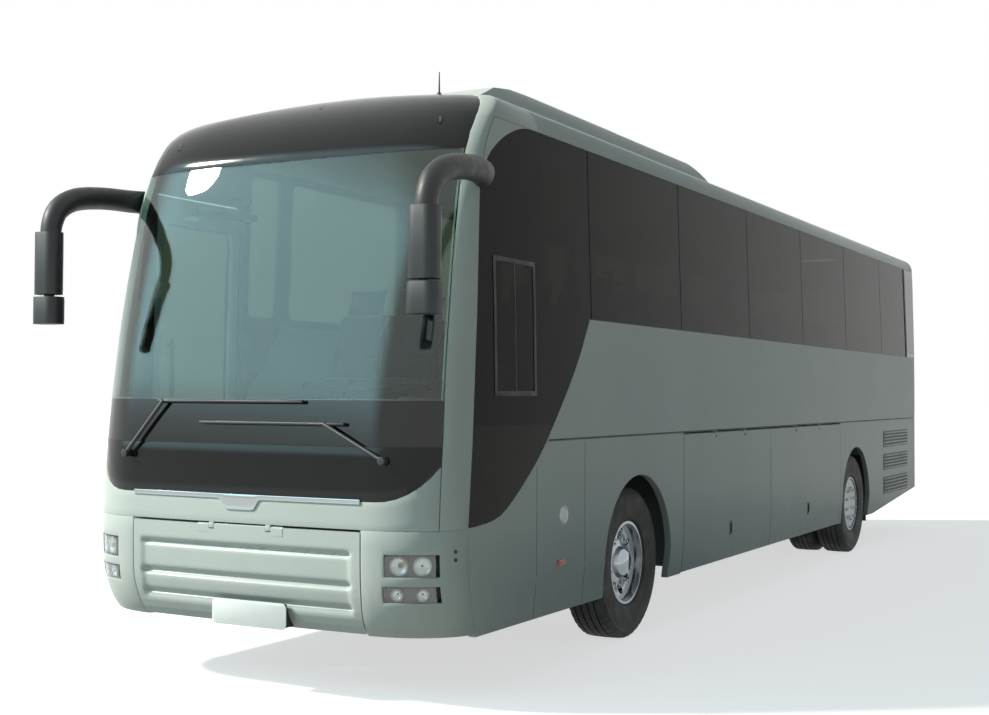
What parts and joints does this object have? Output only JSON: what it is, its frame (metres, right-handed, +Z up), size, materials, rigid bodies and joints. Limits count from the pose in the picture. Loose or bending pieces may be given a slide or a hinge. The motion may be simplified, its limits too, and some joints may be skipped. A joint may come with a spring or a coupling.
{
  "type": "touring coach",
  "caption": "High-deck touring coach with raked windscreen, dark flush side glazing, swinging entry doors, hinged luggage flaps, steered front wheels and twin rear wheels.",
  "frame": {"origin": "on the ground under the middle of the overall box", "axes": "+X forward, +Y to the coach's left, +Z up"},
  "size_m": [12.22, 2.814, 3.748],
  "materials": {
    "paint": "gloss",
    "tinted_glass": "gloss",
    "black_trim": "gloss",
    "lamp_lens": "gloss",
    "red_lens": "gloss",
    "floor": "matte",
    "chassis_steel": "satin",
    "engine_iron": "matte",
    "tyre_rubber": "matte",
    "rim_steel": "gloss",
    "dash_plastic": "matte",
    "seat_fabric": "matte"
  },
  "bodies": {
    "coach_body": {"roof": "paint", "roof_unit": "paint", "windscreen": "tinted_glass", "front_header": "black_trim", "nose_cap": "paint", "front_panel": "black_trim", "front_mask": "paint", "bumper": "paint", "headlamps": "lamp_lens", "side_panel_left": "paint", "side_panel_right": "paint", "window_frame_left": "black_trim", "window_frame_right": "black_trim", "glass_left": "tinted_glass", "glass_right": "tinted_glass", "skirt_left": "paint", "skirt_right": "paint", "rear_wall": "paint", "rear_window": "tinted_glass", "rear_lamps": "red_lens", "passenger_floor": "floor", "stairs": "floor", "chassis_rails": "chassis_steel", "cross_beams": "chassis_steel", "wheel_boxes": "chassis_steel", "luggage_bay": "floor", "engine": "engine_iron", "front_axle": "chassis_steel", "rear_axle": "chassis_steel", "door_columns": "chassis_steel", "mirrors": "black_trim", "wipers": "black_trim", "dashboard": "dash_plastic", "seats": "seat_fabric"},
    "steering_knuckle_left": {"knuckle_left": "chassis_steel"},
    "steering_knuckle_right": {"knuckle_right": "chassis_steel"},
    "steering_tie_rod": {"tie_rod": "chassis_steel"},
    "wheel_front_left": {"tyre_front_left": "tyre_rubber", "rim_front_left": "rim_steel"},
    "wheel_front_right": {"tyre_front_right": "tyre_rubber", "rim_front_right": "rim_steel"},
    "wheels_rear_left": {"tyres_rear_left": "tyre_rubber", "rims_rear_left": "rim_steel"},
    "wheels_rear_right": {"tyres_rear_right": "tyre_rubber", "rims_rear_right": "rim_steel"},
    "front_door_arm": {"door_arm_front": "chassis_steel"},
    "front_door": {"door_front": "paint", "door_glass_front": "tinted_glass"},
    "middle_door_arm": {"door_arm_middle": "chassis_steel"},
    "middle_door": {"door_middle": "paint", "door_glass_middle": "tinted_glass"},
    "luggage_flap_lf": {"luggage_flap_left_front": "paint"},
    "luggage_flap_lr": {"luggage_flap_left_rear": "paint"},
    "luggage_flap_rf": {"luggage_flap_right_front": "paint"},
    "luggage_flap_rr": {"luggage_flap_right_rear": "paint"},
    "rear_engine_lid": {"engine_lid": "paint"},
    "front_service_flap": {"front_flap": "paint"}
  },
  "joints": [
    {"name": "steer_left", "type": "hinge", "parent": "coach_body", "child": "steering_knuckle_left", "pos_m": [3.11, 0.88, 0.522], "axis": [0, 0, 1], "range_deg": [-45, 45]},
    {"name": "steer_right", "type": "hinge", "parent": "coach_body", "child": "steering_knuckle_right", "pos_m": [3.11, -0.88, 0.522], "axis": [0, 0, 1], "range_deg": [-45, 45]},
    {"name": "tie_rod_pivot", "type": "hinge", "parent": "steering_knuckle_left", "child": "steering_tie_rod", "pos_m": [2.89, 0.88, 0.354], "axis": [0, 0, 1], "range_deg": [-45, 45]},
    {"name": "spin_front_left", "type": "hinge", "parent": "steering_knuckle_left", "child": "wheel_front_left", "pos_m": [3.11, 1.06, 0.522], "axis": [0, 1, 0], "continuous": true},
    {"name": "spin_front_right", "type": "hinge", "parent": "steering_knuckle_right", "child": "wheel_front_right", "pos_m": [3.11, -1.06, 0.522], "axis": [0, 1, 0], "continuous": true},
    {"name": "spin_rear_left", "type": "hinge", "parent": "coach_body", "child": "wheels_rear_left", "pos_m": [-2.95, 1.09, 0.522], "axis": [0, 1, 0], "continuous": true},
    {"name": "spin_rear_right", "type": "hinge", "parent": "coach_body", "child": "wheels_rear_right", "pos_m": [-2.95, -1.09, 0.522], "axis": [0, 1, 0], "continuous": true},
    {"name": "front_door_swing", "type": "hinge", "parent": "coach_body", "child": "front_door_arm", "pos_m": [4.47, -1.11, 1.5], "axis": [0, 0, -1], "range_deg": [0, 150]},
    {"name": "front_door_leaf_pivot", "type": "hinge", "parent": "front_door_arm", "child": "front_door", "pos_m": [4.97, -1.11, 1.5], "axis": [0, 0, 1], "range_deg": [0, 150]},
    {"name": "middle_door_swing", "type": "hinge", "parent": "coach_body", "child": "middle_door_arm", "pos_m": [-1.78, -1.11, 1.5], "axis": [0, 0, -1], "range_deg": [0, 150]},
    {"name": "middle_door_leaf_pivot", "type": "hinge", "parent": "middle_door_arm", "child": "middle_door", "pos_m": [-1.28, -1.11, 1.5], "axis": [0, 0, 1], "range_deg": [0, 150]},
    {"name": "flap_left_front", "type": "hinge", "parent": "coach_body", "child": "luggage_flap_lf", "pos_m": [1.185, 1.257, 1.379], "axis": [1, 0, 0], "range_deg": [0, 95]},
    {"name": "flap_left_rear", "type": "hinge", "parent": "coach_body", "child": "luggage_flap_lr", "pos_m": [-1.08, 1.257, 1.379], "axis": [1, 0, 0], "range_deg": [0, 95]},
    {"name": "flap_right_front", "type": "hinge", "parent": "coach_body", "child": "luggage_flap_rf", "pos_m": [1.46, -1.257, 1.379], "axis": [-1, 0, 0], "range_deg": [0, 95]},
    {"name": "flap_right_rear", "type": "hinge", "parent": "coach_body", "child": "luggage_flap_rr", "pos_m": [-0.14, -1.257, 1.379], "axis": [-1, 0, 0], "range_deg": [0, 95]},
    {"name": "engine_lid_hinge", "type": "hinge", "parent": "coach_body", "child": "rear_engine_lid", "pos_m": [-6.092, 0, 1.882], "axis": [0, 1, 0], "range_deg": [0, 85]},
    {"name": "front_flap_hinge", "type": "hinge", "parent": "coach_body", "child": "front_service_flap", "pos_m": [5.857, 0, 0.937], "axis": [0, -1, 0], "range_deg": [0, 80]}
  ],
  "couplings": [
    {"joint": "steer_right", "follows": "steer_left", "ratio": 1},
    {"joint": "tie_rod_pivot", "follows": "steer_left", "ratio": -1},
    {"joint": "front_door_leaf_pivot", "follows": "front_door_swing", "ratio": 1},
    {"joint": "middle_door_leaf_pivot", "follows": "middle_door_swing", "ratio": 1}
  ]
}
